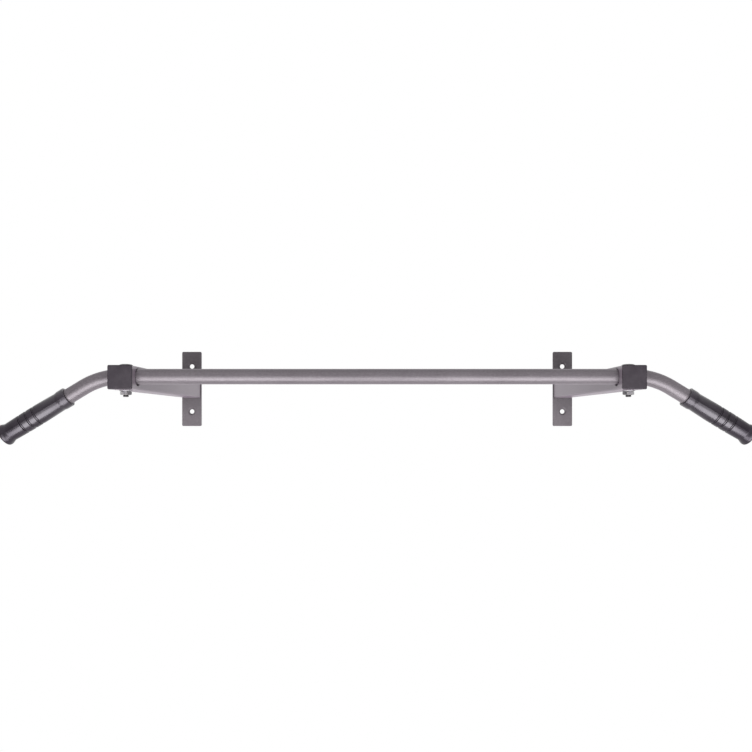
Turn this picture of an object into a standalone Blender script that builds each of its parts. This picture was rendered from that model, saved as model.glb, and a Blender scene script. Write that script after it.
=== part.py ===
"""Wall-mounted pull-up bar: one bent round bar, bolted through two square arms on wall plates.

Metres, +Z up. The wall is the plane Y = 0, and the bar stands out of it towards -Y.
X runs along the bar. The origin lies on the wall, midway between the two plates, at the
height of the arms' centre lines.
"""
import math

import bmesh
import bpy
from mathutils import Vector

# Bar and side handles, one bent tube
BAR_DIAMETER = 0.026
BAR_WALL = 0.002
WALL_TO_BAR = 0.4595
BAR_RISE = 0.0026
HANDLE_DROOP_DEG = 31.4
HANDLE_BEND_RADIUS = 0.125
HANDLE_BEND_INSET = 0.0135
HANDLE_BARE_LENGTH = 0.0295

# Arms
ARM_SPACING = 0.844
ARM_WIDTH = 0.040
ARM_WALL = 0.002
ARM_CORNER = 0.004
BAR_HOLE_CLEARANCE = 0.0015
BAR_HOLE_DROP = 0.0010

# Wall plates
PLATE_THICKNESS = 0.005
PLATE_SIDE_MARGIN = 0.0019
PLATE_CORNER = 0.003
PLATE_EDGE_CHAMFER = 0.0006
SCREW_HOLE_DIAMETER = 0.0102
SCREW_SINK_DEPTH = 0.0030
SCREW_HOLE_TO_ARM = 0.0313
SCREW_HOLE_TO_END = 0.0332

# Weld beads round the arms' roots
WELD_LEG = 0.0024
WELD_SIDE_SHARE = 0.7

# End caps
CAP_THICKNESS = 0.004
CAP_CORNER = 0.0022
CAP_CHAMFER = 0.0014
CAP_CHAMFER_EASE = 0.0004
CAP_CROWN = 0.0003
CAP_SKIRT_DEPTH = 0.011
CAP_SKIRT_WALL = 0.0015
CAP_SKIRT_CLEARANCE = 0.0035
CAP_FIN_HEIGHT = 0.0009
CAP_FIN_THICKNESS = 0.001
CAP_FIN_TIP_SHARE = 0.6
CAP_FIN_PITCH = 0.0032
CAP_FINS = 3

# Grips
GRIP_LENGTH = 0.127
GRIP_COLLAR_DIAMETER = 0.0337
GRIP_COLLAR_LENGTH = 0.0105
GRIP_COLLAR_FALL = 0.0075
GRIP_NECK_DIAMETER = 0.0316
GRIP_BELLY_DIAMETER = 0.0335
GRIP_SWELL_POWER = 0.8
GRIP_FLANGE_DIAMETER = 0.0372
GRIP_FLARE_LENGTH = 0.0095
GRIP_RIM_ROUND = 0.0030
GRIP_RIM_LAND = 0.0015
GRIP_END_WALL = 0.0042
GRIP_LIP = 0.0008
GRIP_VENT_DIAMETER = 0.003
GRIP_FIRST_GROOVE = 0.0605
GRIP_GROOVES = 3
GRIP_GROOVE_PITCH = 0.0136
GRIP_GROOVE_WIDTH = 0.0022
GRIP_GROOVE_DEPTH = 0.0012

# Bolts, washers and nuts
BOLT_DIAMETER = 0.010
BOLT_HEAD_DIAMETER = 0.022
BOLT_HEAD_HEIGHT = 0.0034
BOLT_HEAD_RIM_SHARE = 0.5
BOLT_NECK_LENGTH = 0.003
BOLT_TIP_LENGTH = 0.0031
BOLT_TIP_CHAMFER = 0.0012
WASHER_DIAMETER = 0.0205
WASHER_THICKNESS = 0.0016
NUT_ACROSS_FLATS = 0.017
NUT_FACE_DIAMETER = 0.0162
NUT_CHAMFER_DEG = 30.0
NUT_HEIGHT = 0.0060

# Gaps between touching pieces
SEAT_GAP = 0.0003
FIT_CLEARANCE = 0.0003

# Smoothness of the round forms
TUBE_SIDES = 32
GRIP_SIDES = 32
HOLE_SIDES = 32
BOLT_SIDES = 24
NUT_SIDES = 30
CORNER_STEPS = 4
BEND_STEPS = 8
SHARP_ANGLE_DEG = 32.0

# Places worked out from the sizes above
BAR_RADIUS = BAR_DIAMETER / 2
ARM_HALF = ARM_WIDTH / 2
BAR_HOLE_RADIUS = BAR_RADIUS + BAR_HOLE_CLEARANCE
ARM_ROOT = PLATE_THICKNESS + SEAT_GAP
ARM_END = WALL_TO_BAR + BAR_HOLE_RADIUS + CAP_SKIRT_CLEARANCE + CAP_SKIRT_DEPTH
SCREW_HOLE_HEIGHT = ARM_HALF + SCREW_HOLE_TO_ARM
BOLT_HOLE_RADIUS = BOLT_DIAMETER / 2 + FIT_CLEARANCE
HANDLE_STRAIGHT = HANDLE_BARE_LENGTH + GRIP_LENGTH - GRIP_END_WALL - SEAT_GAP
HANDLE_DROOP = math.radians(HANDLE_DROOP_DEG)
BEND_START = ARM_SPACING / 2 + ARM_HALF - HANDLE_BEND_INSET


def material(name, colour, roughness, metallic):
    """One Principled material; colour is linear red, green and blue."""
    made = bpy.data.materials.new(name)
    made.use_nodes = True
    shader = made.node_tree.nodes["Principled BSDF"]
    shader.inputs["Base Color"].default_value = (*colour, 1.0)
    shader.inputs["Roughness"].default_value = roughness
    shader.inputs["Metallic"].default_value = metallic
    return made


def circle(radius, sides):
    """Points of a circle as (across, up) pairs."""
    angles = [2 * math.pi * i / sides for i in range(sides)]
    return [(radius * math.cos(a), radius * math.sin(a)) for a in angles]


def square_on_circle(half, sides):
    """A square's outline with one point for each point of a circle of as many sides."""
    points = []
    for across, up in circle(1.0, sides):
        stretch = half / max(abs(across), abs(up))
        points.append((across * stretch, up * stretch))
    return points


def hexagon_on_circle(across_flats, limit, sides):
    """A hexagon's outline, with flats facing up and down, kept inside a circle of radius limit."""
    points = []
    for i in range(sides):
        angle = 2 * math.pi * i / sides
        from_flat = (angle % (math.pi / 3)) - math.pi / 6
        radius = min(across_flats / 2 / math.cos(from_flat), limit)
        points.append((radius * math.cos(angle), radius * math.sin(angle)))
    return points


def rounded_box(half_across, half_up, radius):
    """Outline of a rectangle with round corners, as (across, up, normal across, normal up)."""
    points = []
    for quarter in range(4):
        for step in range(CORNER_STEPS + 1):
            angle = math.pi / 2 * (quarter + step / CORNER_STEPS)
            side_across = 1 if quarter in (0, 3) else -1
            side_up = 1 if quarter in (0, 1) else -1
            normal = (math.cos(angle), math.sin(angle))
            centre_across = side_across * (half_across - radius)
            centre_up = side_up * (half_up - radius)
            points.append((centre_across + radius * normal[0], centre_up + radius * normal[1], *normal))
    return points


def skin(name, loops, ring):
    """A closed mesh over loops of as many points each; a ring joins its last loop to its first."""
    bm = bmesh.new()
    rows = [[bm.verts.new(point) for point in loop] for loop in loops]
    pairs = list(zip(rows, rows[1:]))
    if ring:
        pairs.append((rows[-1], rows[0]))
    else:
        bm.faces.new(rows[0])
        bm.faces.new(rows[-1])
    count = len(rows[0])
    for near, far in pairs:
        for i in range(count):
            j = (i + 1) % count
            bm.faces.new((near[i], near[j], far[j], far[i]))
    bmesh.ops.recalc_face_normals(bm, faces=bm.faces)
    mesh = bpy.data.meshes.new(name)
    bm.to_mesh(mesh)
    bm.free()
    mesh.shade_smooth()
    mesh.set_sharp_from_angle(angle=math.radians(SHARP_ANGLE_DEG))
    return mesh


def place(name, mesh, finish, parent, location=(0, 0, 0), rotation=(0, 0, 0)):
    """An object of its own for one piece."""
    if not mesh.materials:
        mesh.materials.append(finish)
    obj = bpy.data.objects.new(name, mesh)
    bpy.context.scene.collection.objects.link(obj)
    obj.parent = parent
    obj.location = location
    obj.rotation_euler = rotation
    return obj


def guide(name, location):
    """An empty that carries the pieces of one side."""
    empty = bpy.data.objects.new(name, None)
    bpy.context.scene.collection.objects.link(empty)
    empty.location = location
    return empty


def cutter(name, sections, parent, location, rotation=(0, 0, 0)):
    """A hidden solid that holes are cut with, over sections of (outline, height) along its own Z."""
    mesh = skin(name, [[(x, y, height) for x, y in outline] for outline, height in sections], ring=False)
    obj = bpy.data.objects.new(name, mesh)
    bpy.context.scene.collection.objects.link(obj)
    obj.parent = parent
    obj.location = location
    obj.rotation_euler = rotation
    obj.hide_render = True
    obj.display_type = "WIRE"
    return obj


def cut(obj, tool):
    """Cuts a tool's shape out of an object."""
    boolean = obj.modifiers.new(tool.name, "BOOLEAN")
    boolean.operation = "DIFFERENCE"
    boolean.solver = "EXACT"
    boolean.object = tool


def smooth_step(share):
    """0 to 1 with level ends."""
    return share * share * (3 - 2 * share)


def bar_stations():
    """Centre points and directions of the bent bar, from its left end to its right end."""
    right = [(Vector((0, 0, 0)), 0.0)]
    right.append((Vector((ARM_SPACING / 2 - ARM_HALF, 0, 0)), 0.0))
    for step in range(BEND_STEPS + 1):
        angle = HANDLE_DROOP * step / BEND_STEPS
        across = BEND_START + HANDLE_BEND_RADIUS * math.sin(angle)
        up = -HANDLE_BEND_RADIUS * (1 - math.cos(angle))
        right.append((Vector((across, 0, up)), angle))
    along = Vector((math.cos(HANDLE_DROOP), 0, -math.sin(HANDLE_DROOP)))
    right.append((right[-1][0] + along * HANDLE_STRAIGHT, HANDLE_DROOP))
    left = [(Vector((-point.x, 0, point.z)), -angle) for point, angle in reversed(right[1:])]
    return left + right


def bar_mesh():
    """The tube with its open bore, swept along the stations."""
    def rings(radius):
        made = []
        for centre, angle in bar_stations():
            up = Vector((math.sin(angle), 0, math.cos(angle)))
            back = Vector((0, 1, 0))
            made.append([centre + back * a + up * b for a, b in circle(radius, TUBE_SIDES)])
        return made

    bore = rings(BAR_RADIUS - BAR_WALL)
    return skin("main_bar", rings(BAR_RADIUS) + bore[::-1], ring=True)


def arm_mesh():
    """A square tube with round corners, open at both ends, along Y."""
    outer = rounded_box(ARM_HALF, ARM_HALF, ARM_CORNER)
    inner = rounded_box(ARM_HALF - ARM_WALL, ARM_HALF - ARM_WALL, ARM_CORNER - ARM_WALL)
    loops = []
    for outline, y in ((outer, -ARM_ROOT), (outer, -ARM_END), (inner, -ARM_END), (inner, -ARM_ROOT)):
        loops.append([(p[0], y, p[1]) for p in outline])
    return skin("arm", loops, ring=True)


def plate_mesh():
    """A wall plate with round corners and eased edges; its back lies on the wall."""
    half_across = ARM_HALF + PLATE_SIDE_MARGIN
    half_up = SCREW_HOLE_HEIGHT + SCREW_HOLE_TO_END
    loops = []
    for inset, y in (
        (PLATE_EDGE_CHAMFER, 0.0),
        (0.0, -PLATE_EDGE_CHAMFER),
        (0.0, PLATE_EDGE_CHAMFER - PLATE_THICKNESS),
        (PLATE_EDGE_CHAMFER, -PLATE_THICKNESS),
    ):
        outline = rounded_box(half_across - inset, half_up - inset, PLATE_CORNER - inset)
        loops.append([(p[0], y, p[1]) for p in outline])
    return skin("wall_plate", loops, ring=False)


def weld_mesh():
    """A bead round the arm's root, narrow beside the arm, where the plate hardly stands out."""
    arc_steps = 3
    side_leg = PLATE_SIDE_MARGIN * WELD_SIDE_SHARE
    foot = -(PLATE_THICKNESS + SEAT_GAP)
    loops = []
    for across, up, normal_across, normal_up in rounded_box(ARM_HALF, ARM_HALF, ARM_CORNER):
        leg = side_leg + (WELD_LEG - side_leg) * normal_up ** 2
        section = [(SEAT_GAP, 0.0)]
        for step in range(arc_steps + 1):
            angle = math.pi / 2 * step / arc_steps
            section.append((SEAT_GAP + leg * math.cos(angle), leg * math.sin(angle)))
        loops.append([
            (across + normal_across * out, foot - along, up + normal_up * out)
            for out, along in section
        ])
    return skin("plate_weld", loops, ring=True)


def cap_mesh():
    """A square plug: a chamfered, slightly crowned face, and a finned skirt inside the arm."""
    skirt = ARM_HALF - ARM_WALL - FIT_CLEARANCE - CAP_FIN_HEIGHT
    inside = skirt - CAP_SKIRT_WALL
    ease = CAP_CHAMFER_EASE
    profile = [
        (ARM_HALF / 2, -CAP_THICKNESS - CAP_CROWN),
        (ARM_HALF - CAP_CHAMFER, -CAP_THICKNESS),
        (ARM_HALF - ease, -CAP_THICKNESS + CAP_CHAMFER - ease),
        (ARM_HALF, -CAP_THICKNESS + CAP_CHAMFER + ease),
        (ARM_HALF, 0.0),
        (skirt, 0.0),
    ]
    for fin in range(CAP_FINS):
        start = CAP_FIN_THICKNESS + fin * CAP_FIN_PITCH
        profile.append((skirt, start))
        profile.append((skirt + CAP_FIN_HEIGHT, start))
        profile.append((skirt + CAP_FIN_HEIGHT * CAP_FIN_TIP_SHARE, start + CAP_FIN_THICKNESS))
        profile.append((skirt, start + CAP_FIN_THICKNESS))
    profile += [
        (skirt, CAP_SKIRT_DEPTH),
        (inside, CAP_SKIRT_DEPTH),
        (inside, 0.0),
    ]
    loops = []
    for half, y in profile:
        corner = CAP_CORNER * min(1.0, half / skirt)
        loops.append([(p[0], y, p[1]) for p in rounded_box(half, half, corner)])
    return skin("end_cap", loops, ring=False)


def grip_body_radius(along):
    """Outer radius of the grip between collar and flange, swelling to its belly."""
    start = GRIP_COLLAR_LENGTH + GRIP_COLLAR_FALL
    end = GRIP_LENGTH - GRIP_RIM_ROUND - GRIP_RIM_LAND - GRIP_FLARE_LENGTH
    share = min(max((along - start) / (end - start), 0.0), 1.0)
    swell = math.sin(math.pi * share) ** GRIP_SWELL_POWER
    return (GRIP_NECK_DIAMETER + (GRIP_BELLY_DIAMETER - GRIP_NECK_DIAMETER) * swell) / 2


def grip_outline():
    """The grip's outer side as (radius, distance from the mouth), from mouth to end face."""
    collar = GRIP_COLLAR_DIAMETER / 2
    neck = GRIP_NECK_DIAMETER / 2
    rim = GRIP_FLANGE_DIAMETER / 2
    outline = [(collar - GRIP_LIP, 0.0), (collar, GRIP_LIP), (collar, GRIP_COLLAR_LENGTH)]
    fall_steps = 4
    for step in range(1, fall_steps + 1):
        share = step / fall_steps
        radius = collar + (neck - collar) * smooth_step(share)
        outline.append((radius, GRIP_COLLAR_LENGTH + GRIP_COLLAR_FALL * share))
    body_start = GRIP_COLLAR_LENGTH + GRIP_COLLAR_FALL
    body_end = GRIP_LENGTH - GRIP_RIM_ROUND - GRIP_RIM_LAND - GRIP_FLARE_LENGTH
    groove_centres = [GRIP_FIRST_GROOVE + i * GRIP_GROOVE_PITCH for i in range(GRIP_GROOVES)]
    body_steps = 9
    body = []
    for step in range(1, body_steps):
        along = body_start + (body_end - body_start) * step / body_steps
        if min(abs(along - centre) for centre in groove_centres) > GRIP_GROOVE_WIDTH:
            body.append((grip_body_radius(along), along))
    for centre in groove_centres:
        for offset, depth in ((-0.5, 0.0), (-0.25, 1.0), (0.25, 1.0), (0.5, 0.0)):
            along = centre + offset * GRIP_GROOVE_WIDTH
            body.append((grip_body_radius(along) - depth * GRIP_GROOVE_DEPTH, along))
    outline += sorted(body, key=lambda point: point[1])
    flare_steps = 4
    for step in range(flare_steps + 1):
        share = step / flare_steps
        outline.append((neck + (rim - neck) * smooth_step(share), body_end + GRIP_FLARE_LENGTH * share))
    round_steps = 3
    for step in range(round_steps + 1):
        angle = math.pi / 2 * step / round_steps
        radius = rim - GRIP_RIM_ROUND * (1 - math.cos(angle))
        outline.append((radius, GRIP_LENGTH - GRIP_RIM_ROUND * (1 - math.sin(angle))))
    return outline


def grip_mesh():
    """A moulded sleeve along Z, open at its mouth, with a vent through its end wall."""
    bore = BAR_RADIUS + FIT_CLEARANCE
    vent = GRIP_VENT_DIAMETER / 2
    profile = grip_outline()
    profile += [
        (vent, GRIP_LENGTH),
        (vent, GRIP_LENGTH - GRIP_END_WALL),
        (bore, GRIP_LENGTH - GRIP_END_WALL),
        (bore, GRIP_LIP),
        (bore + GRIP_LIP, 0.0),
    ]
    loops = [[(x, y, along) for x, y in circle(radius, GRIP_SIDES)] for radius, along in profile]
    return skin("grip", loops, ring=True)


def bolt_mesh():
    """A low round head on a square neck, and a plain shank; the head's seat is at Z = 0."""
    head = BOLT_HEAD_DIAMETER / 2
    shank = BOLT_DIAMETER / 2
    tip = -(ARM_WIDTH + SEAT_GAP * 4 + WASHER_THICKNESS + NUT_HEIGHT + BOLT_TIP_LENGTH)
    outlines = []
    for share in (0.4, 0.75, 0.92, 1.0):
        height = BOLT_HEAD_HEIGHT * (1 - share ** 4 * (1 - BOLT_HEAD_RIM_SHARE))
        outlines.append((circle(head * share, BOLT_SIDES), height))
    outlines += [
        (circle(head, BOLT_SIDES), 0.0),
        (square_on_circle(shank, BOLT_SIDES), 0.0),
        (square_on_circle(shank, BOLT_SIDES), -BOLT_NECK_LENGTH),
        (circle(shank, BOLT_SIDES), -BOLT_NECK_LENGTH - SEAT_GAP),
        (circle(shank, BOLT_SIDES), tip + BOLT_TIP_CHAMFER),
        (circle(shank - BOLT_TIP_CHAMFER, BOLT_SIDES), tip),
    ]
    return skin("bolt", [[(x, y, z) for x, y in outline] for outline, z in outlines], ring=False)


def washer_mesh():
    """A flat ring; its upper face is at Z = 0."""
    loops = []
    for radius, z in (
        (WASHER_DIAMETER / 2, 0.0),
        (WASHER_DIAMETER / 2, -WASHER_THICKNESS),
        (BOLT_HOLE_RADIUS, -WASHER_THICKNESS),
        (BOLT_HOLE_RADIUS, 0.0),
    ):
        loops.append([(x, y, z) for x, y in circle(radius, HOLE_SIDES)])
    return skin("washer", loops, ring=True)


def nut_mesh():
    """A low hexagon nut, turned at its corners, with a plain bore; its seat is at Z = 0."""
    corner = NUT_ACROSS_FLATS / 2 / math.cos(math.pi / 6)
    face = NUT_FACE_DIAMETER / 2
    slope = math.tan(math.radians(NUT_CHAMFER_DEG))
    bore = BOLT_HOLE_RADIUS
    sink = (corner - face) * slope
    depths = [sink * share for share in (0.0, 0.35, 0.7, 1.0)]
    depths += [NUT_HEIGHT - depth for depth in reversed(depths)]
    loops = []
    for depth in depths:
        limit = face + min(depth, NUT_HEIGHT - depth) / slope
        outline = hexagon_on_circle(NUT_ACROSS_FLATS, limit, NUT_SIDES)
        loops.append([(x, y, -depth) for x, y in outline])
    for radius, depth in ((bore + sink, NUT_HEIGHT), (bore, NUT_HEIGHT - sink), (bore, sink), (bore + sink, 0.0)):
        loops.append([(x, y, -depth) for x, y in circle(radius, NUT_SIDES)])
    return skin("nut", loops, ring=True)


def build_side(side, sign, meshes, finishes, bar):
    """All the pieces of one end: arm, plate, weld, cap, grip and fastening."""
    bracket = guide(side + "_bracket", (sign * ARM_SPACING / 2, 0, 0))
    painted, plastic, rubber, zinc, blackened = finishes
    bar_place = (0, -WALL_TO_BAR, 0)
    reach = ARM_WIDTH

    arm = place(side + "_arm", meshes["arm"], painted, bracket)
    bar_circle = circle(BAR_HOLE_RADIUS, HOLE_SIDES)
    bolt_circle = circle(BOLT_HOLE_RADIUS, BOLT_SIDES)
    neck_square = square_on_circle(BOLT_HOLE_RADIUS, BOLT_SIDES)
    bar_hole = cutter(
        side + "_bar_hole", ((bar_circle, -reach), (bar_circle, reach)),
        bracket, (0, -WALL_TO_BAR, BAR_RISE - BAR_HOLE_DROP), (0, math.pi / 2, 0),
    )
    bolt_hole = cutter(
        side + "_bolt_hole", ((bolt_circle, -reach), (bolt_circle, 0)), bracket, bar_place,
    )
    neck_hole = cutter(
        side + "_neck_hole", ((neck_square, 0), (neck_square, reach)), bracket, bar_place,
    )
    for tool in (bar_hole, bolt_hole, neck_hole):
        cut(arm, tool)

    bar_bolt_hole = cutter(
        side + "_bar_bolt_hole", ((bolt_circle, -reach), (bolt_circle, reach)), bracket, bar_place,
    )
    cut(bar, bar_bolt_hole)

    plate = place(side + "_wall_plate", meshes["plate"], painted, bracket)
    hole = SCREW_HOLE_DIAMETER / 2
    screw_sections = (
        (circle(hole, HOLE_SIDES), -PLATE_THICKNESS),
        (circle(hole, HOLE_SIDES), PLATE_THICKNESS - SCREW_SINK_DEPTH),
        (circle(hole + SCREW_SINK_DEPTH * 2, HOLE_SIDES), PLATE_THICKNESS + SCREW_SINK_DEPTH),
    )
    for level, height in (("upper", SCREW_HOLE_HEIGHT), ("lower", -SCREW_HOLE_HEIGHT)):
        screw_hole = cutter(
            side + "_" + level + "_screw_hole", screw_sections, bracket, (0, 0, height), (math.pi / 2, 0, 0),
        )
        cut(plate, screw_hole)

    place(side + "_plate_weld", meshes["weld"], painted, bracket)
    place(side + "_end_cap", meshes["cap"], plastic, bracket, (0, -ARM_END - SEAT_GAP, 0))

    seat = ARM_HALF + SEAT_GAP
    washer_seat = -seat
    nut_seat = washer_seat - WASHER_THICKNESS - SEAT_GAP
    place(side + "_bolt", meshes["bolt"], blackened, bracket, (0, -WALL_TO_BAR, seat))
    place(side + "_washer", meshes["washer"], zinc, bracket, (0, -WALL_TO_BAR, washer_seat))
    place(side + "_nut", meshes["nut"], zinc, bracket, (0, -WALL_TO_BAR, nut_seat))

    across = BEND_START + HANDLE_BEND_RADIUS * math.sin(HANDLE_DROOP) + HANDLE_BARE_LENGTH * math.cos(HANDLE_DROOP)
    drop = HANDLE_BEND_RADIUS * (1 - math.cos(HANDLE_DROOP)) + HANDLE_BARE_LENGTH * math.sin(HANDLE_DROOP)
    turn = sign * (math.pi / 2 + HANDLE_DROOP)
    place(side + "_grip", meshes["grip"], rubber, bar, (sign * across, 0, -drop), (0, turn, 0))


def build():
    """The whole pull-up bar."""
    for obj in list(bpy.data.objects):
        bpy.data.objects.remove(obj, do_unlink=True)
    finishes = (
        material("painted_steel", (0.180, 0.158, 0.174), 0.35, 0.2),
        material("cap_plastic", (0.050, 0.043, 0.050), 0.50, 0.0),
        material("grip_rubber", (0.030, 0.027, 0.031), 0.25, 0.0),
        material("zinc", (0.50, 0.49, 0.49), 0.30, 1.0),
        material("blackened_steel", (0.06, 0.058, 0.062), 0.40, 0.6),
    )
    meshes = {
        "arm": arm_mesh(),
        "plate": plate_mesh(),
        "weld": weld_mesh(),
        "cap": cap_mesh(),
        "grip": grip_mesh(),
        "bolt": bolt_mesh(),
        "washer": washer_mesh(),
        "nut": nut_mesh(),
    }
    bar = place("main_bar", bar_mesh(), finishes[0], None, (0, -WALL_TO_BAR, BAR_RISE))
    for side, sign in (("left", -1), ("right", 1)):
        build_side(side, sign, meshes, finishes, bar)


build()
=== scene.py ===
import math

import bmesh
import bpy
from mathutils import Matrix, Vector


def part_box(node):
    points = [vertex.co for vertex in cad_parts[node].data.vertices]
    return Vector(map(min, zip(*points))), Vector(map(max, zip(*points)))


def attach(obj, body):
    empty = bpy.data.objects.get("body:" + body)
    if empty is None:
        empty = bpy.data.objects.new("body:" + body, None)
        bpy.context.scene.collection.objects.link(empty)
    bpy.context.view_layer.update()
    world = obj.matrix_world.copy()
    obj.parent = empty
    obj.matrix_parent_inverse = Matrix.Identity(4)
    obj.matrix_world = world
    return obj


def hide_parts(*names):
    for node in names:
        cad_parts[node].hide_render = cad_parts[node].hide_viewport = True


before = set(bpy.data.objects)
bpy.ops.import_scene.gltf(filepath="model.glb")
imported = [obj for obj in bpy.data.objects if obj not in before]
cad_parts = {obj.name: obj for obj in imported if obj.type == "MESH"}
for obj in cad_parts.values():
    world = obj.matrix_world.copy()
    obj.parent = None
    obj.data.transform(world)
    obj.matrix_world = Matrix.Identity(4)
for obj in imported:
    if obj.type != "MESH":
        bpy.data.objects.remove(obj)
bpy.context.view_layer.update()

# Places read from the frame
arm_low, arm_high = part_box("right_arm")
bar_low, bar_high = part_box("main_bar")
plate_low, plate_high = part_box("right_wall_plate")
weld_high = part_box("right_plate_weld")[1]
cap_low, cap_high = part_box("right_end_cap")
bolt_low, bolt_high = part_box("right_bolt")
washer_low, washer_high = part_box("right_washer")
nut_low, nut_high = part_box("right_nut")

arm_across = (arm_low.x + arm_high.x) / 2
arm_half = (arm_high.x - arm_low.x) / 2
arm_root = arm_high.y
arm_end = arm_low.y
bar_radius = (bar_high.y - bar_low.y) / 2
bar_depth = (bar_high.y + bar_low.y) / 2
bar_height = bar_high.z - bar_radius

# Sizes that the boxes don't give, in metres
tube_wall = 0.002
arm_corner = 0.004
arm_edge_ease = 0.00035
bar_hole_clearance = 0.0015
bar_hole_drop = 0.0010
fit_clearance = 0.0003
handle_droop = math.radians(31.4)
handle_bend_radius = 0.125
handle_bend_inset = 0.0135
handle_bare_length = 0.0295
grip_length = 0.127
grip_end_wall = 0.0042
screw_hole_radius = 0.0051
screw_hole_to_end = 0.0332
screw_sink_depth = 0.0030
plate_corner = 0.003
plate_edge_ease = 0.0006
cap_corner = 0.0022
cap_chamfer = 0.0014
cap_crown = 0.0003
cap_edge_ease = 0.0003
cap_fin_height = 0.0009
cap_fin_tip_height = 0.00054
cap_fin_thickness = 0.001
cap_fin_pitch = 0.0032
cap_fins = 3
cap_skirt_wall = 0.0015
bolt_radius = 0.005
bolt_shank_radius = 0.0049
bolt_head_height = 0.0034
bolt_neck_length = 0.003
bolt_thread_length = 0.026
bolt_tip_chamfer = 0.0012
thread_pitch = 0.0015
thread_depth = 0.00085
thread_clearance = 0.00012
nut_across_flats = 0.017
nut_face_diameter = 0.0162

# Steps that keep round forms smooth
bar_sides = 96
bar_bend_steps = 28
grip_sides = 128
grip_lip_steps = 4
grip_collar_steps = 8
grip_body_steps = 190
grip_flare_steps = 12
grip_rim_steps = 8
bolt_sides = 64
bolt_head_steps = 10
washer_sides = 96
nut_sides = 96
steps_per_thread_turn = 8
screw_hole_sides = 64
bolt_hole_sides = 48
tube_corner_steps = 8
plate_corner_steps = 6
weld_corner_steps = 10
weld_bead_steps = 6
cap_chamfer_steps = 5

# Places worked out from both
cap_seat = arm_end - fit_clearance
bend_start = arm_high.x - handle_bend_inset
handle_straight = handle_bare_length + grip_length - grip_end_wall - fit_clearance
bar_hole_centre = (0.0, bar_depth, bar_height - bar_hole_drop)
bar_hole_radius = bar_radius + bar_hole_clearance
bolt_hole_radius = bolt_radius + fit_clearance
head_seat = bolt_high.z - bolt_head_height
nut_offset = nut_high.z - head_seat


def turn_angles(sides):
    """Angles of evenly spread points round a circle."""
    return [2 * math.pi * i / sides for i in range(sides)]


def shares(steps):
    """Even steps from 0 to 1, with both ends."""
    return [step / steps for step in range(steps + 1)]


def smooth_step(share):
    """0 to 1 with level ends."""
    return share * share * (3 - 2 * share)


def circle(radius, sides):
    """Points of a circle as (across, up) pairs."""
    return [(radius * math.cos(angle), radius * math.sin(angle)) for angle in turn_angles(sides)]


def square_round_circle(half, sides):
    """A square's outline with as many points as a circle has."""
    points = []
    for across, up in circle(1.0, sides):
        stretch = half / max(abs(across), abs(up))
        points.append((across * stretch, up * stretch))
    return points


def rounded_square(half_across, half_up, radius, steps):
    """A rectangle with round corners, as (across, up, normal across, normal up)."""
    points = []
    for quarter in range(4):
        side_across = 1 if quarter in (0, 3) else -1
        side_up = 1 if quarter in (0, 1) else -1
        for share in shares(steps):
            angle = math.pi / 2 * (quarter + share)
            normal = (math.cos(angle), math.sin(angle))
            across = side_across * (half_across - radius) + radius * normal[0]
            up = side_up * (half_up - radius) + radius * normal[1]
            points.append((across, up, *normal))
    return points


def upright(outline, depth):
    """An outline stood up across Y at a depth."""
    return [(point[0], depth, point[1]) for point in outline]


def level(outline, height):
    """An outline laid flat at a height."""
    return [(across, back, height) for across, back in outline]


def turned(radii, height):
    """A flat loop round Z at a height, with a radius for each of its points."""
    points = []
    for radius, angle in zip(radii, turn_angles(len(radii))):
        points.append((radius * math.cos(angle), radius * math.sin(angle), height))
    return points


def skin(name, loops, ring=True, sharp_angle=35.0):
    """A closed, smooth-shaded mesh over loops of as many points each, a ring or one with end faces."""
    bm = bmesh.new()
    rows = [[bm.verts.new(point) for point in loop] for loop in loops]
    pairs = list(zip(rows, rows[1:]))
    if ring:
        pairs.append((rows[-1], rows[0]))
    else:
        bm.faces.new(rows[0])
        bm.faces.new(rows[-1])
    count = len(rows[0])
    for near, far in pairs:
        for i in range(count):
            j = (i + 1) % count
            bm.faces.new((near[i], near[j], far[j], far[i]))
    bmesh.ops.recalc_face_normals(bm, faces=bm.faces)
    mesh = bpy.data.meshes.new(name)
    bm.to_mesh(mesh)
    bm.free()
    mesh.shade_smooth()
    mesh.set_sharp_from_angle(angle=math.radians(sharp_angle))
    return mesh


def put_in_scene(name, data):
    """A new object in the scene, made of a mesh, a lamp or a camera."""
    obj = bpy.data.objects.new(name, data)
    bpy.context.scene.collection.objects.link(obj)
    return obj


def fit(name, mesh, finish, spot, turn=None):
    """Puts a finished piece at its solid's spot, on the one body, in its solid's stead."""
    if not mesh.materials:
        mesh.materials.append(finish)
    if turn:
        mesh = mesh.copy()
        mesh.transform(turn)
    piece = put_in_scene(name + "_finished", mesh)
    piece.location = spot
    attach(piece, "root")
    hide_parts(name)
    return piece


def carve(mesh, sections, place):
    """Cuts a hole over sections of (outline, height) through a mesh and returns the cut mesh."""
    body = put_in_scene("carved", mesh)
    drill = put_in_scene("drill", skin("drill", [level(*section) for section in sections], ring=False))
    drill.matrix_world = place
    boolean = body.modifiers.new("hole", "BOOLEAN")
    boolean.operation = "DIFFERENCE"
    boolean.solver = "EXACT"
    boolean.object = drill
    bpy.context.view_layer.update()
    made = bpy.data.meshes.new_from_object(body.evaluated_get(bpy.context.evaluated_depsgraph_get()))
    made.name = mesh.name
    for obj in (body, drill):
        bpy.data.objects.remove(obj, do_unlink=True)
    return made


def ease_edges(piece, width, segments):
    """Rounds the hard edges a little, as paint or a press tool leaves them."""
    hard_angle = 40.0
    bevel = piece.modifiers.new("eased_edges", "BEVEL")
    bevel.width = width
    bevel.segments = segments
    bevel.limit_method = "ANGLE"
    bevel.angle_limit = math.radians(hard_angle)
    flattened = piece.modifiers.new("level_faces", "WEIGHTED_NORMAL")
    flattened.keep_sharp = False


# Main bar

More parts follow.
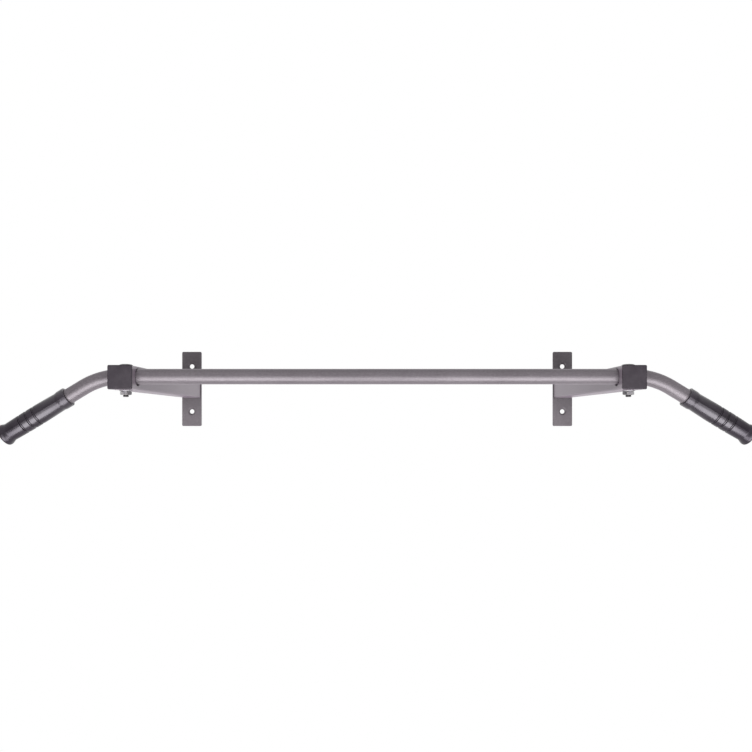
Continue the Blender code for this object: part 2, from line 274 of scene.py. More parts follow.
def bar_mesh():
    """The bent tube with its open bore, drilled through for the bolts."""
    stations = [(Vector((0, 0, 0)), 0.0), (Vector((arm_low.x, 0, 0)), 0.0)]
    for step in range(bar_bend_steps + 1):
        angle = handle_droop * step / bar_bend_steps
        across = bend_start + handle_bend_radius * math.sin(angle)
        stations.append((Vector((across, 0, -handle_bend_radius * (1 - math.cos(angle)))), angle))
    along = Vector((math.cos(handle_droop), 0, -math.sin(handle_droop)))
    stations.append((stations[-1][0] + along * handle_straight, handle_droop))
    mirrored = [(Vector((-point.x, 0, point.z)), -angle) for point, angle in reversed(stations[1:])]

    def rings(radius):
        made = []
        for centre, angle in mirrored + stations:
            up = Vector((math.sin(angle), 0, math.cos(angle)))
            back = Vector((0, 1, 0))
            made.append([centre + back * a + up * b for a, b in circle(radius, bar_sides)])
        return made

    mesh = skin("main_bar", rings(bar_radius) + rings(bar_radius - tube_wall)[::-1])
    hole = circle(bolt_hole_radius, bolt_hole_sides)
    for side in (-1, 1):
        through = Matrix.Translation((side * arm_across, 0, 0))
        mesh = carve(mesh, ((hole, -arm_half), (hole, arm_half)), through)
    return mesh


# Arms, plates and welds

def arm_mesh(paint, bare_with_painted_shade):
    """A square tube with rolled corners, bare inside and darkened there as painted shade, drilled for the bar
    and the bolt.
    """
    outer = rounded_square(arm_half, arm_half, arm_corner, tube_corner_steps)
    inner_half = arm_half - tube_wall
    inner = rounded_square(inner_half, inner_half, arm_corner - tube_wall, tube_corner_steps)
    walls = ((outer, arm_root), (outer, arm_end), (inner, arm_end), (inner, arm_root))
    mesh = skin("arm", [upright(*wall) for wall in walls])
    mesh.materials.append(paint)
    mesh.materials.append(bare_with_painted_shade)
    for face in mesh.polygons:
        outward = face.center.x * face.normal.x + face.center.z * face.normal.z
        face.material_index = 1 if outward < -1e-6 else 0
    bar_hole = circle(bar_hole_radius, bar_sides)
    bolt_hole = circle(bolt_hole_radius, bolt_hole_sides)
    neck_hole = square_round_circle(bolt_hole_radius, bolt_hole_sides)
    reach = 2 * arm_half
    across = Matrix.Translation(bar_hole_centre) @ Matrix.Rotation(math.pi / 2, 4, "Y")
    mesh = carve(mesh, ((bar_hole, -reach), (bar_hole, reach)), across)
    down = Matrix.Translation((0, bar_depth, 0))
    mesh = carve(mesh, ((bolt_hole, -reach), (bolt_hole, 0)), down)
    return carve(mesh, ((neck_hole, 0), (neck_hole, reach)), down)


def plate_mesh():
    """A flat plate with small round corners and two countersunk screw holes."""
    half_across = (plate_high.x - plate_low.x) / 2
    half_up = (plate_high.z - plate_low.z) / 2
    thickness = plate_high.y - plate_low.y
    outline = rounded_square(half_across, half_up, plate_corner, plate_corner_steps)
    mesh = skin("wall_plate", [upright(outline, y) for y in (plate_high.y, plate_low.y)], ring=False)
    hole = circle(screw_hole_radius, screw_hole_sides)
    sunk = circle(screw_hole_radius + screw_sink_depth * 2, screw_hole_sides)
    sections = (
        (hole, -thickness), (hole, thickness - screw_sink_depth), (sunk, thickness + screw_sink_depth),
    )
    hole_height = half_up - screw_hole_to_end
    for height in (-hole_height, hole_height):
        through = Matrix.Translation((0, 0, height)) @ Matrix.Rotation(math.pi / 2, 4, "X")
        mesh = carve(mesh, sections, through)
    return mesh


def weld_mesh():
    """A rippled bead round the arm's root, thin beside the arm and full above and below it."""
    ripple_pitch = 0.0021
    ripple_share = 0.14
    waver_share = 0.05
    slow_waver = 83.0
    fast_waver = 190.0
    stations_per_ripple = 6
    full_leg = weld_high.z - arm_half - fit_clearance
    side_leg = weld_high.x - arm_high.x - fit_clearance
    corner_points = rounded_square(arm_half, arm_half, arm_corner, weld_corner_steps)
    path = []
    travelled = 0.0
    for i, point in enumerate(corner_points):
        following = corner_points[(i + 1) % len(corner_points)]
        length = math.dist(point[:2], following[:2])
        parts = max(1, round(length / (ripple_pitch / stations_per_ripple)))
        for share in shares(parts)[:-1]:
            mixed = [a + (b - a) * share for a, b in zip(point, following)]
            path.append((mixed, travelled + length * share))
        travelled += length
    ripples = round(travelled / ripple_pitch)
    loops = []
    for (across, up, normal_across, normal_up), way in path:
        beat = way / travelled * ripples % 1.0
        swell = 1 - ripple_share + ripple_share * math.sqrt(math.sin(math.pi * beat))
        swell *= 1 - waver_share + waver_share * math.sin(way * fast_waver) * math.cos(way * slow_waver)
        leg = side_leg + (full_leg - side_leg) * normal_up ** 2
        section = [(fit_clearance, 0.0)]
        for step in range(weld_bead_steps + 1):
            angle = math.pi / 2 * step / weld_bead_steps
            bulge = leg * (swell if 0 < step < weld_bead_steps else 0.5 + swell / 2)
            section.append((fit_clearance + bulge * math.cos(angle), bulge * math.sin(angle)))
        loops.append([
            (across + normal_across * out, weld_high.y - rise, up + normal_up * out)
            for out, rise in section
        ])
    return skin("plate_weld", loops, sharp_angle=60.0)


# End caps

def cap_mesh():
    """A square plug with a rounded chamfer, a crowned face and a finned skirt."""
    face_ease = 0.0002
    depth = cap_high.y - cap_seat
    thickness = cap_seat - cap_low.y - cap_crown
    rim = arm_half - cap_chamfer
    skirt = arm_half - tube_wall - fit_clearance - cap_fin_height
    inside = skirt - cap_skirt_wall
    crown = ((arm_half * 0.25, 1.0), (arm_half * 0.6, 0.8), (rim - cap_chamfer, 0.15), (rim - face_ease, 0.0))
    profile = [(out, -thickness - cap_crown * share) for out, share in crown]
    for share in shares(cap_chamfer_steps)[1:]:
        angle = math.pi / 2 * share
        out = rim + cap_chamfer * math.sin(angle)
        profile.append((out, -thickness + cap_chamfer * (1 - math.cos(angle))))
    profile += [(arm_half, -cap_edge_ease), (arm_half - cap_edge_ease, 0.0), (skirt, 0.0)]
    for fin in range(cap_fins):
        start = cap_fin_thickness + fin * cap_fin_pitch
        end = start + cap_fin_thickness
        profile += [(skirt, start), (skirt + cap_fin_height, start)]
        profile += [(skirt + cap_fin_tip_height, end), (skirt, end)]
    profile += [(skirt, depth), (inside, depth), (inside, 0.0)]
    loops = []
    for half, y in profile:
        corner = cap_corner * min(1.0, half / skirt)
        loops.append(upright(rounded_square(half, half, corner, tube_corner_steps), y))
    return skin("end_cap", loops, ring=False, sharp_angle=40.0)


# Grips

def groove_cut(along):
    """How deep the three grooves of a grip cut at a distance from its mouth, steep on their outer side."""
    first_groove = 0.0605
    groove_pitch = 0.0136
    inner_slope = 0.0028
    outer_edge = 0.0011
    depth = 0.0017
    floor_share = 0.375
    for groove in range(3):
        off = along - first_groove - groove_pitch * groove
        reach = inner_slope if off < 0 else outer_edge
        if abs(off) < reach:
            return depth * smooth_step(min(1.0, (1.0 - abs(off) / reach) / (1.0 - floor_share)))
    return 0.0


def grip_mesh():
    """A moulded sleeve along Z with a collar, three grooves that slope on one side, and a vented flange."""
    collar = 0.01685
    collar_length = 0.0105
    collar_fall = 0.0075
    neck = 0.0158
    belly = 0.01675
    belly_fullness = 0.8
    rim = 0.0186
    flare_length = 0.0095
    rim_round = 0.0030
    rim_land = 0.0015
    end_land = 0.0012
    end_slope = 0.0008
    end_dish = 0.0006
    lip = 0.0008
    mouth_flare = 0.00056
    vent = 0.0015
    seam_height = 0.00012
    bore = bar_radius + fit_clearance
    body_start = collar_length + collar_fall
    body_end = grip_length - rim_round - rim_land - flare_length
    outline = []
    for share in shares(grip_lip_steps):
        angle = math.pi / 2 * share
        outline.append((collar - lip * (1 - math.sin(angle)), lip * (1 - math.cos(angle))))
    outline.append((collar, collar_length * 0.5))
    for share in shares(grip_collar_steps):
        outline.append((collar + (neck - collar) * smooth_step(share), collar_length + collar_fall * share))
    for share in shares(grip_body_steps)[1:-1]:
        along = body_start + (body_end - body_start) * share
        radius = neck + (belly - neck) * math.sin(math.pi * share) ** belly_fullness
        outline.append((radius - groove_cut(along), along))
    for share in shares(grip_flare_steps):
        outline.append((neck + (rim - neck) * smooth_step(share), body_end + flare_length * share))
    for share in shares(grip_rim_steps):
        angle = math.pi / 2 * share
        radius = rim - rim_round * (1 - math.cos(angle))
        outline.append((radius, grip_length - rim_round * (1 - math.sin(angle))))
    end_face = rim - rim_round - end_land
    outline += [(end_face, grip_length), (end_face - end_slope, grip_length - end_dish)]
    outline += [(vent + end_dish, grip_length - end_dish), (vent, grip_length - end_dish * 2)]
    outline += [(vent, grip_length - grip_end_wall), (bore, grip_length - grip_end_wall)]
    outline += [(bore, lip), (bore + mouth_flare, 0.0)]
    loops = []
    for radius, along in outline:
        outside = radius > neck * 0.9
        radii = [radius - seam_height if outside else radius] * grip_sides
        radii[grip_sides // 4] = radii[3 * grip_sides // 4] = radius
        loops.append(turned(radii, along))
    return skin("grip", loops, sharp_angle=50.0)


# Bolts, washers and nuts

def thread_radius(angle, z):
    """Radius of the bolt's thread at an angle and a height."""
    root_share = 0.2
    turn = (z / thread_pitch - angle / (2 * math.pi)) % 1.0
    ridge = abs(2 * turn - 1.0)
    return bolt_radius - thread_depth * smooth_step(min(1.0, ridge / (1.0 - root_share)))


def bolt_mesh():
    """A low round head on a square neck over a threaded shank; the head's seat is at Z = 0."""
    head_ease = 0.0003
    head_drop = bolt_head_height * 0.5
    tip = bolt_low.z - head_seat
    thread_top = tip + bolt_thread_length
    head = (bolt_high.x - bolt_low.x) / 2
    loops = []
    for share in shares(bolt_head_steps)[1:]:
        loops.append(level(circle(head * share, bolt_sides), bolt_head_height - head_drop * share ** 4))
    neck = square_round_circle(bolt_radius, bolt_sides)
    shank = circle(bolt_shank_radius, bolt_sides)
    loops.append(level(circle(head, bolt_sides), head_ease))
    loops.append(level(circle(head - head_ease, bolt_sides), 0.0))
    loops += [level(neck, 0.0), level(neck, -bolt_neck_length)]
    loops += [level(shank, -bolt_neck_length - fit_clearance), level(shank, thread_top)]
    steps = round((thread_top - tip) / thread_pitch * steps_per_thread_turn)
    for step in range(1, steps + 1):
        z = thread_top + (tip - thread_top) * step / steps
        limit = bolt_radius - max(0.0, bolt_tip_chamfer - (z - tip))
        run_in = smooth_step(min(1.0, step / steps_per_thread_turn))
        radii = []
        for angle in turn_angles(bolt_sides):
            cut = bolt_shank_radius + (thread_radius(angle, z) - bolt_shank_radius) * run_in
            radii.append(min(cut, limit))
        loops.append(turned(radii, z))
    return skin("bolt", loops, ring=False, sharp_angle=50.0)


def washer_mesh():
    """A flat ring with slightly rounded edges; its upper face is at Z = 0."""
    ease = 0.0002
    outer = (washer_high.x - washer_low.x) / 2
    inner = bolt_hole_radius
    thickness = washer_high.z - washer_low.z
    profile = [
        (inner, -ease), (inner + ease, 0.0), (outer - ease, 0.0), (outer, -ease),
        (outer, ease - thickness), (outer - ease, -thickness), (inner + ease, -thickness),
        (inner, ease - thickness),
    ]
    return skin("washer", [level(circle(radius, washer_sides), z) for radius, z in profile])


def nut_mesh():
    """A low hexagon nut, turned at its corners, with a threaded bore; its upper face is at Z = 0."""
    angles = turn_angles(nut_sides)
    height = nut_high.z - nut_low.z
    face = nut_face_diameter / 2
    corner = nut_across_flats / 2 / math.cos(math.pi / 6)
    slope = math.tan(math.radians(30))
    sink = (corner - face) * slope
    depths = [sink * share for share in (0.0, 0.15, 0.3, 0.45, 0.6, 0.8, 1.0)]
    depths += [height - depth for depth in reversed(depths)]
    hexagon = [nut_across_flats / 2 / math.cos(angle % (math.pi / 3) - math.pi / 6) for angle in angles]
    loops = []
    for depth in depths:
        limit = face + min(depth, height - depth) / slope
        loops.append(turned([min(radius, limit) for radius in hexagon], -depth))
    steps = round(height / thread_pitch * steps_per_thread_turn)
    for step in range(steps + 1):
        z = -height + height * step / steps
        opening = bolt_hole_radius - min(z + height, -z)
        thread = [thread_radius(angle, z + nut_offset) + thread_clearance for angle in angles]
        loops.append(turned([max(radius, opening) for radius in thread], z))
    return skin("nut", loops, sharp_angle=30.0)


# Finishes

def feed(made, socket, value):
    """Sets one input of a node, or links it where the value is a wire."""
    if isinstance(value, Wire):
        value.tree.links.new(value.socket, made.inputs[socket])
    else:
        made.inputs[socket].default_value = value


class Wire:
    """One output in a material's nodes. Sums on it add Math nodes, and node() adds any other."""

    def __init__(self, tree, socket=None):
        self.tree = tree
        self.socket = socket

    def node(self, kind, settings=None, sockets=None, output=0):
        made = self.tree.nodes.new(kind)
        for key, value in (settings or {}).items():
            setattr(made, key, value)
        for key, value in (sockets or {}).items():
            feed(made, key, value)
        return Wire(self.tree, made.outputs[output])

    def maths(self, operation, *values):
        return self.node("ShaderNodeMath", {"operation": operation}, dict(enumerate(values)))

    def __add__(self, other):
        return self.maths("ADD", self, other)

    def __sub__(self, other):
        return self.maths("SUBTRACT", self, other)

    def __rsub__(self, other):
        return self.maths("SUBTRACT", other, self)

    def __mul__(self, other):
        return self.maths("MULTIPLY", self, other)

    __radd__ = __add__
    __rmul__ = __mul__

    def between(self, low, high, start=0.0, end=1.0):
        return self.node(
            "ShaderNodeMapRange", {"interpolation_type": "SMOOTHSTEP"},
            {"Value": self, "From Min": low, "From Max": high, "To Min": start, "To Max": end},
        )


def start_finish(name):
    """A new material: the material, its Principled shader and its object coordinates."""
    material = bpy.data.materials.new(name)
    material.use_nodes = True
    shader = material.node_tree.nodes["Principled BSDF"]
    coords = Wire(material.node_tree).node("ShaderNodeTexCoord", output="Object")
    return material, shader, coords


def rgb(red, green, blue):
    """A colour with full alpha."""
    return (red, green, blue, 1.0)


def mix(share, low, high):
    """Mixes two colours."""
    return share.node("ShaderNodeMix", {"data_type": "RGBA"}, {0: share, 6: low, 7: high}, output=2)


def part(vector, axis):
    """One part of a vector: X, Y or Z."""
    return vector.node("ShaderNodeSeparateXYZ", {}, {"Vector": vector}, output=axis)


def distance(spot, centre):
    """How far a spot is from a centre."""
    return spot.node("ShaderNodeVectorMath", {"operation": "DISTANCE"}, {0: spot, 1: centre}, output="Value")


def noise(coords, size, detail=3.0, roughness=0.55, stretch=None):
    """Cloudy values from 0 to 1 whose blotches are about size across."""
    if stretch:
        coords = coords.node("ShaderNodeMapping", {}, {"Vector": coords, "Scale": stretch})
    return coords.node(
        "ShaderNodeTexNoise", {},
        {"Vector": coords, "Scale": 1 / size, "Detail": detail, "Roughness": roughness},
    )


def edge_mask(coords, radius):
    """1 along outer edges and corners, 0 on flat faces."""
    rounded = coords.node("ShaderNodeBevel", {"samples": 4}, {"Radius": radius})
    plain = coords.node("ShaderNodeNewGeometry", output="Normal")
    along = coords.node(
        "ShaderNodeVectorMath", {"operation": "DOT_PRODUCT"}, {0: rounded, 1: plain}, output="Value",
    )
    return (1.0 - along).between(0.02, 0.2)


def relief(shader, height, *, strength, depth):
    """Shades a surface as if it rose and sank by a height."""
    bump = height.node("ShaderNodeBump", {}, {"Strength": strength, "Distance": depth, "Height": height})
    feed(shader, "Normal", bump)


def plate_painted_shade(coords):
    """Painted shade on a plate: a little darker at its foot, darker up to just under the arm, and darkest
    over its upper half, where the arm shades it.
    """
    return part(coords, "Z").between(plate_low.z * 0.8, arm_low.z * 0.9, 0.94, 0.7)


def arm_painted_light_and_shade(coords):
    """Painted light on the arm: paler at its front end and near the wall. Painted shade: a dark ring round
    the bar's holes.
    """
    front_length = 0.05
    hole_shade_inner_edge = bar_hole_radius + 0.0005
    hole_shade_outer_edge = bar_hole_radius + 0.0024
    depth = part(coords, "Y")
    # Painted light: paler towards the arm's front end and towards the wall.
    front_painted_light = depth.between(arm_end, arm_end + front_length, 0.38, 0.0)
    wall_painted_light = depth.between(arm_end * 0.8, arm_end * 0.2, 0.84, 1.2)
    # Painted shade: a dark ring round the bar's hole, where the gap round the bar lies in shadow.
    side_on = coords.node("ShaderNodeVectorMath", {"operation": "MULTIPLY"}, {0: coords, 1: (0.0, 1.0, 1.0)})
    hole_painted_shade = distance(side_on, bar_hole_centre).between(hole_shade_inner_edge, hole_shade_outer_edge, 0.2, 1.0)
    return (front_painted_light + wall_painted_light) * hole_painted_shade


def painted_steel_finish(name, painted_light_and_shade_at=None, tone=1.0):
    """Satin grey paint with orange peel, faint blotches, fine scratches and rubbed edges, scaled by a tone of
    painted light and shade.
    """
    material, shader, coords = start_finish(name)
    # The tone scales the paint by painted light and shade; a tone of 1 leaves it as it is.
    if painted_light_and_shade_at:
        tone = painted_light_and_shade_at(coords)
    blotches = noise(coords, 0.09, detail=2.0)
    flecks = noise(coords, 0.0035, detail=4.0)
    peel = noise(coords, 0.0011, detail=2.0)
    scratches = noise(coords, 0.001, detail=2.0, roughness=0.6, stretch=(0.04, 1.0, 1.0))
    scratched = scratches.between(0.66, 0.74) * noise(coords, 0.05).between(0.5, 0.65)
    rubbed = edge_mask(coords, 0.0007) * flecks.between(0.42, 0.62)
    shade = (blotches * 0.45 + flecks * 0.55).between(0.3, 0.7)
    paint = mix(shade, rgb(0.138, 0.1205, 0.135), rgb(0.176, 0.1565, 0.173))
    paint = mix(scratched * 0.35, paint, rgb(0.30, 0.28, 0.29))
    paint = coords.node("ShaderNodeVectorMath", {"operation": "SCALE"}, {0: paint, "Scale": tone})
    feed(shader, "Base Color", mix(rubbed * 0.5 * tone, paint, rgb(0.36, 0.34, 0.35)))
    feed(shader, "Roughness", blotches * 0.06 + flecks * 0.08 + scratched * 0.15 + 0.29)
    feed(shader, "Metallic", rubbed * 0.3 + 0.3)
    feed(shader, "Sheen Weight", 0.12)
    feed(shader, "Sheen Roughness", 0.4)
    feed(shader, "Sheen Tint", rgb(1.0, 0.6, 1.0))
    relief(shader, peel * 0.6 + flecks * 0.4 - scratched * 0.5, strength=0.2, depth=0.0002)
    return material


def bare_steel_finish():
    """Unpainted steel with brown mill scale, as inside the arms, made near black as painted shade for the
    tube's dark inside.
    """
    material, shader, coords = start_finish("bare_steel")
    cloud = noise(coords, 0.01, detail=4.0)
    grain = noise(coords, 0.0008)
    scale = mix(cloud.between(0.35, 0.65), rgb(0.020, 0.018, 0.018), rgb(0.045, 0.036, 0.030))
    feed(shader, "Base Color", scale)
    feed(shader, "Roughness", cloud * 0.15 + grain * 0.1 + 0.5)
    feed(shader, "Metallic", grain * 0.2 + 0.3)
    relief(shader, grain, strength=0.3, depth=0.0002)
    return material


def cap_plastic_finish():
    """Black moulded plastic with a fine eroded grain and paler rubbed edges."""
    material, shader, coords = start_finish("cap_plastic")
    cloud = noise(coords, 0.012)
    grain = noise(coords, 0.0005, roughness=0.6)
    rubbed = edge_mask(coords, 0.0006) * grain.between(0.35, 0.65)
    tone = mix(cloud.between(0.3, 0.7), rgb(0.028, 0.021, 0.029), rgb(0.039, 0.031, 0.040))
    feed(shader, "Base Color", mix(rubbed * 0.3, tone, rgb(0.12, 0.11, 0.12)))
    feed(shader, "Specular IOR Level", 0.4)
    feed(shader, "Roughness", cloud * 0.12 + grain * 0.1 + 0.42)
    relief(shader, grain, strength=0.3, depth=0.00012)
    return material


def grip_rubber_finish():
    """Black rubber with a fine pebble, paler at its collar as painted light, dull at its flange, polished in
    the middle by hands, its coat taken off on top and bottom as painted shade.
    """
    material, shader, coords = start_finish("grip_rubber")
    along = coords.node("ShaderNodeVectorMath", {"operation": "LENGTH"}, {0: coords}, output="Value")
    cloud = noise(coords, 0.02)
    pebble = coords.node(
        "ShaderNodeTexVoronoi", {"feature": "SMOOTH_F1"}, {"Vector": coords, "Scale": 1100.0},
    )
    fine = noise(coords, 0.0004, detail=2.0)
    rubbed = edge_mask(coords, 0.0008)
    tone = mix(cloud.between(0.3, 0.7), rgb(0.013, 0.010, 0.014), rgb(0.021, 0.016, 0.023))
    # Painted light: the rubber is paler towards the collar.
    collar_painted_light = along.between(0.01, 0.035, 0.25, 0.0)
    tone = mix(collar_painted_light, tone, rgb(0.060, 0.052, 0.062))
    feed(shader, "Base Color", mix(rubbed * 0.3, tone, rgb(0.075, 0.070, 0.076)))
    feed(shader, "Specular IOR Level", 0.45)
    feed(shader, "Specular Tint", rgb(0.93, 0.84, 1.0))
    # Painted shade: the coat is taken off faces that point up or down, so they reflect less.
    upward = part(coords.node("ShaderNodeNewGeometry", output="Normal"), "Z")
    above_and_below_painted_shade = upward.between(0.06, 0.42) + upward.between(-0.76, -0.6, 1.0, 0.0)
    past_collar = along.between(0.02, 0.06)
    polish = along.between(0.02, 0.045, 0.55, 0.9) * along.between(0.075, 0.12, 1.0, 0.3)
    feed(shader, "Coat Weight", polish * (1.0 - above_and_below_painted_shade * past_collar))
    feed(shader, "Coat Roughness", 0.28)
    feed(shader, "Roughness", cloud * 0.08 + fine * 0.04 + 0.24)
    relief(shader, pebble * 0.7 + fine * 0.3, strength=0.06, depth=0.0001)
    return material


def zinc_finish(name, dull, bright, dullness):
    """Zinc plate clouded between two tones, with fine turning marks."""
    material, shader, coords = start_finish(name)
    cloud = noise(coords, 0.004)
    grain = noise(coords, 0.0006)
    turning = coords.node(
        "ShaderNodeTexWave", {"wave_type": "RINGS", "rings_direction": "Z"},
        {"Vector": coords, "Scale": 900.0, "Distortion": 0.6},
    )
    rubbed = edge_mask(coords, 0.0005)
    tone = mix(cloud.between(0.3, 0.7), dull, bright)
    feed(shader, "Base Color", mix(rubbed * 0.2, tone, rgb(0.66, 0.65, 0.64)))
    feed(shader, "Roughness", cloud * 0.15 + grain * 0.1 + dullness)
    feed(shader, "Metallic", 1.0)
    relief(shader, turning * 0.15 + grain * 0.85, strength=0.15, depth=0.0001)
    return material


def blackened_steel_finish():
    """Blackened steel with a dull sheen, brown clouds, and bare metal on its rubbed edges."""
    material, shader, coords = start_finish("blackened_steel")
    cloud = noise(coords, 0.004)
    grain = noise(coords, 0.0005)
    rubbed = edge_mask(coords, 0.0004) * grain.between(0.4, 0.65)
    tone = mix(cloud.between(0.3, 0.7), rgb(0.060, 0.056, 0.061), rgb(0.095, 0.089, 0.092))
    feed(shader, "Base Color", mix(rubbed * 0.5, tone, rgb(0.24, 0.23, 0.23)))
    feed(shader, "Roughness", cloud * 0.15 + grain * 0.1 + 0.28)
    feed(shader, "Metallic", rubbed * 0.4 + 0.6)
    relief(shader, grain, strength=0.2, depth=0.0001)
    return material


def dress():
    """Every piece of the bar in its finish."""
    # Painted shade: the weld's whole paint is darkened to stand in for the shadow in the crease at the arm's
    # root.
    weld_painted_shade = 0.55
    paint = painted_steel_finish("painted_steel")
    # The arms' paint carries painted light and painted shade.
    arm_paint_with_painted_light_and_shade = painted_steel_finish("arm_paint_painted_light_and_shade", arm_painted_light_and_shade)
    # The plates' paint carries painted shade.
    plate_paint_with_painted_shade = painted_steel_finish("plate_paint_painted_shade", plate_painted_shade)
    weld_paint_with_painted_shade = painted_steel_finish("weld_paint_painted_shade", tone=weld_painted_shade)
    bare_with_painted_shade = bare_steel_finish()
    plastic = cap_plastic_finish()
    rubber = grip_rubber_finish()
    nut_zinc = zinc_finish("nut_zinc", rgb(0.28, 0.27, 0.30), rgb(0.38, 0.36, 0.36), 0.22)
    washer_zinc = zinc_finish("washer_zinc", rgb(0.50, 0.49, 0.53), rgb(0.62, 0.60, 0.60), 0.60)
    blackened = blackened_steel_finish()
    fit("main_bar", bar_mesh(), paint, (0, bar_depth, bar_height))
    meshes = {
        "arm": arm_mesh(arm_paint_with_painted_light_and_shade, bare_with_painted_shade), "plate": plate_mesh(), "weld": weld_mesh(), "cap": cap_mesh(),
        "grip": grip_mesh(), "bolt": bolt_mesh(), "washer": washer_mesh(), "nut": nut_mesh(),
    }
    grip_across = bend_start + handle_bend_radius * math.sin(handle_droop)
    grip_across += handle_bare_length * math.cos(handle_droop)
    grip_drop = handle_bend_radius * (1 - math.cos(handle_droop))
    grip_drop += handle_bare_length * math.sin(handle_droop)
    for side, sign in (("left", -1), ("right", 1)):
        across = sign * arm_across
        arm = fit(side + "_arm", meshes["arm"], arm_paint_with_painted_light_and_shade, (across, 0, 0))
        ease_edges(arm, arm_edge_ease, 2)
        plate = fit(side + "_wall_plate", meshes["plate"], plate_paint_with_painted_shade, (across, 0, 0))
        ease_edges(plate, plate_edge_ease, 3)
        fit(side + "_plate_weld", meshes["weld"], weld_paint_with_painted_shade, (across, 0, 0))
        fit(side + "_end_cap", meshes["cap"], plastic, (across, cap_seat, 0))
        fit(side + "_bolt", meshes["bolt"], blackened, (across, bar_depth, head_seat))
        fit(side + "_washer", meshes["washer"], washer_zinc, (across, bar_depth, washer_high.z))
        fit(side + "_nut", meshes["nut"], nut_zinc, (across, bar_depth, nut_high.z))
        mouth = (sign * grip_across, bar_depth, bar_height - grip_drop)
        turn = Matrix.Rotation(sign * (math.pi / 2 + handle_droop), 4, "Y")
        fit(side + "_grip", meshes["grip"], rubber, mouth, turn)


# Studio

def studio_floor():
    """A pale floor at its usual distance under a pull-up bar, white away from the bar's shadow."""
    drop = 1.75
    reach = 30.0
    shadow_reach = 0.8
    white_reach = 2.0
    white_in_shadow = 0.5
    past_bar = 0.6
    mesh = bpy.data.meshes.new("floor")
    corners = [(-reach, -reach, -drop), (reach, -reach, -drop), (reach, reach, -drop), (-reach, reach, -drop)]
    mesh.from_pydata(corners, [], [(0, 1, 2, 3)])
    floor = put_in_scene("floor", mesh)
    material = bpy.data.materials.new("pale_floor")
    material.use_nodes = True
    tree = material.node_tree
    tree.nodes.clear()
    base = Wire(tree)
    coords = base.node("ShaderNodeTexCoord", output="Object")
    under_bar = (0.0, bar_depth, -drop)
    fade = distance(coords, under_bar).between(shadow_reach, white_reach, white_in_shadow, 1.0)
    behind = part(coords, "Y").between(bar_depth - past_bar, bar_depth + past_bar)
    pale = mix(noise(coords, 0.03), rgb(0.80, 0.80, 0.80), rgb(0.84, 0.84, 0.84))
    diffuse = base.node("ShaderNodeBsdfDiffuse", {}, {"Color": pale})
    glow = base.node("ShaderNodeEmission", {}, {"Color": rgb(1.0, 1.0, 1.0), "Strength": 1.0})
    seen = base.node("ShaderNodeLightPath", output="Is Camera Ray")
    mirrored = base.node("ShaderNodeLightPath", output="Is Glossy Ray")
    passed = base.node("ShaderNodeLightPath", output="Is Transmission Ray")
    shown = seen + mirrored * behind + passed
    blend = base.node("ShaderNodeMixShader", {}, {0: shown * fade, 1: diffuse, 2: glow})
    end = tree.nodes.new("ShaderNodeOutputMaterial")
    feed(end, "Surface", blend)
    mesh.materials.append(material)


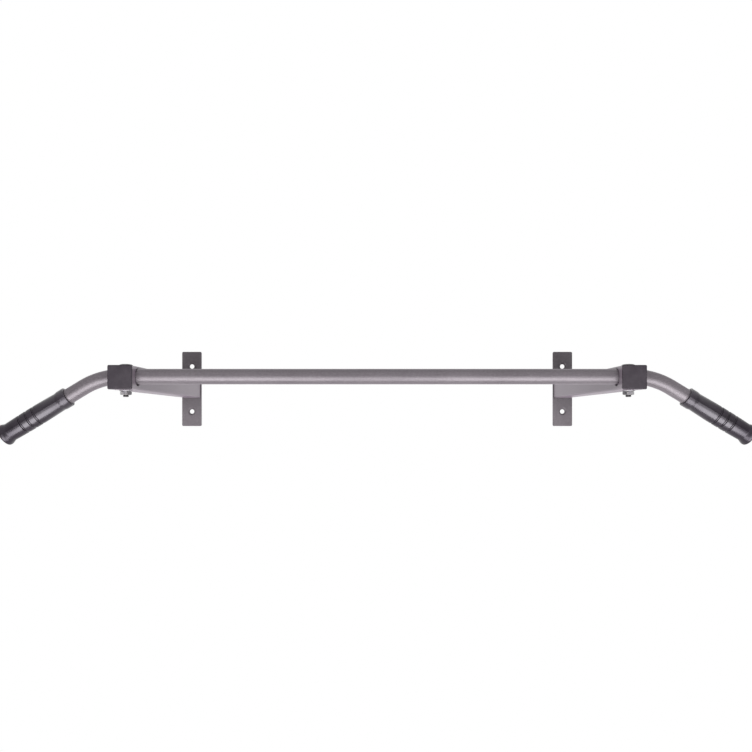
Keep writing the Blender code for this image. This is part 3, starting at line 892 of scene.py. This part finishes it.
def studio_world():
    """White where it is seen and behind the bar where it is mirrored, with a bright ceiling."""
    around = 0.2
    from_behind = 0.3
    from_ceiling = 0.33
    mirrored_front = 0.02
    wall_start = 0.15
    wall_full = 0.6
    ceiling_start = -0.05
    ceiling_full = 0.75
    world = bpy.data.worlds.new("studio")
    bpy.context.scene.world = world
    world.use_nodes = True
    tree = world.node_tree
    tree.nodes.clear()
    base = Wire(tree)
    way = base.node("ShaderNodeTexCoord", output="Generated")
    ceiling = part(way, "Z").between(ceiling_start, ceiling_full)
    backward = part(way, "Y")
    lighting = backward.between(wall_start, wall_full) * from_behind + ceiling * from_ceiling + around
    mirrored_level = backward.between(wall_start, wall_full, mirrored_front, 1.0)
    mirrored_level = mirrored_level + (1.0 - mirrored_level) * ceiling
    seen = base.node("ShaderNodeLightPath", output="Is Camera Ray")
    mirrored = base.node("ShaderNodeLightPath", output="Is Glossy Ray")
    passed = base.node("ShaderNodeLightPath", output="Is Transmission Ray")
    white = base.maths("MINIMUM", seen + passed, 1.0)
    strength = lighting + (mirrored_level - lighting) * mirrored
    strength = strength + (1.0 - strength) * white
    light = base.node("ShaderNodeBackground", {}, {"Color": rgb(1.0, 1.0, 1.0), "Strength": strength})
    end = tree.nodes.new("ShaderNodeOutputWorld")
    feed(end, "Surface", light)


def softbox(name, side, fall_degrees, height, watts):
    """A soft rectangular lamp, some degrees below the bar in front of one handle, and facing it."""
    lamp_distance = 1.28
    lamp_width = 0.85
    handle_across = 0.555
    fall = math.radians(fall_degrees)
    target = Vector((side * handle_across, bar_depth, bar_height))
    lamp = bpy.data.lights.new(name, "AREA")
    lamp.shape = "RECTANGLE"
    lamp.size = lamp_width
    lamp.size_y = height
    lamp.energy = watts
    obj = put_in_scene(name, lamp)
    obj.location = target + lamp_distance * Vector((0.0, -math.cos(fall), -math.sin(fall)))
    obj.rotation_euler = (target - obj.location).to_track_quat("-Z", "Y").to_euler()
    obj.visible_camera = False


def studio_lamps():
    """A strong softbox low in front of each handle, and a weaker one above it."""
    for name, side in (("left", -1), ("right", 1)):
        softbox(name + "_low_softbox", side, fall_degrees=45.5, height=1.0, watts=15.5)
        softbox(name + "_high_softbox", side, fall_degrees=11.0, height=0.59, watts=2.95)


def photo_camera():
    """A level camera below the bar, with the picture's frame raised as the photograph's is."""
    image_side = 752
    focal_pixels = 762.5
    horizon_row = 419.3
    centre_column = 377.16
    camera_height = -0.0691
    cap_distance = 1.2474
    sensor_width = 36.0
    camera = bpy.data.cameras.new("camera")
    camera.sensor_width = sensor_width
    camera.lens = focal_pixels / image_side * sensor_width
    camera.shift_x = (image_side / 2 - centre_column) / image_side
    camera.shift_y = (horizon_row - image_side / 2) / image_side
    camera.clip_start = 0.05
    camera.clip_end = 100.0
    obj = put_in_scene("camera", camera)
    obj.location = (0.0, cap_low.y - cap_distance, camera_height)
    obj.rotation_euler = (math.pi / 2, 0.0, 0.0)
    bpy.context.scene.camera = obj


dress()
studio_floor()
studio_world()
studio_lamps()
photo_camera()
bpy.context.scene.view_settings.view_transform = "Standard"
